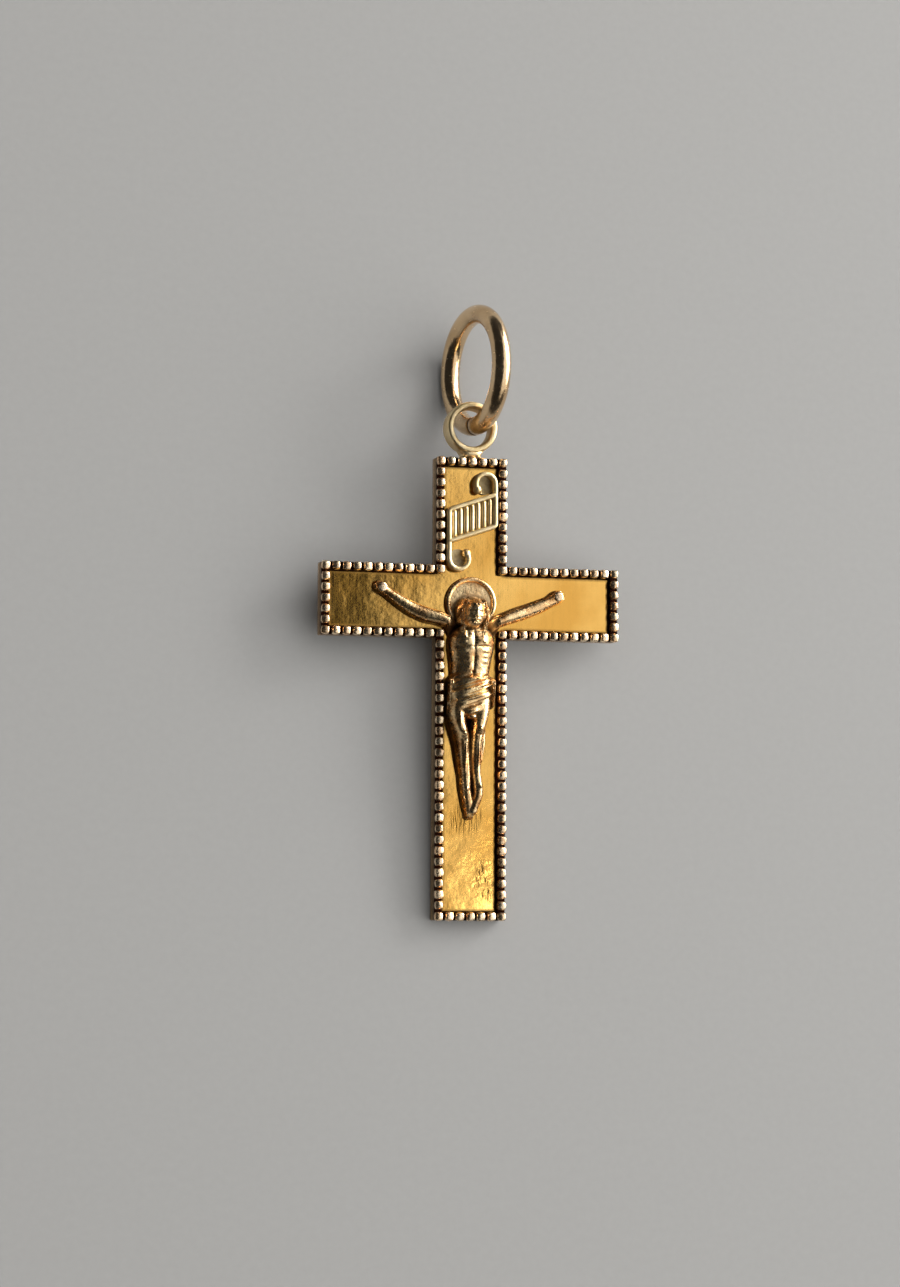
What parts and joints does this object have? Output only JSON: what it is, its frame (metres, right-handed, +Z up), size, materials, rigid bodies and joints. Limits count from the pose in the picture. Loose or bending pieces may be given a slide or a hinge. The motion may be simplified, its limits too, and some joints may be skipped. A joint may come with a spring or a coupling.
{
  "type": "crucifix pendant",
  "caption": "Small gold crucifix pendant with a beaded rim, an applied figure and title scroll, and a jump ring for a chain.",
  "frame": {"origin": "on the surface that the pendant lies on, under the middle of its outline", "axes": "+Z up from the surface, +Y along the upright towards the jump ring, +X along the crossbar to the right as seen from the front"},
  "size_m": [0.0146, 0.0294, 0.0062],
  "materials": {
    "plate_gold": "polished yellow gold, fine vertical polishing lines",
    "cast_gold": "cast and burnished gold, slightly redder",
    "ring_gold": "drawn gold wire, paler, satin to bright"
  },
  "bodies": {
    "root": {"cross": "plate_gold", "title_scroll": "cast_gold", "corpus": "cast_gold", "jump_ring": "ring_gold"}
  },
  "joints": []
}
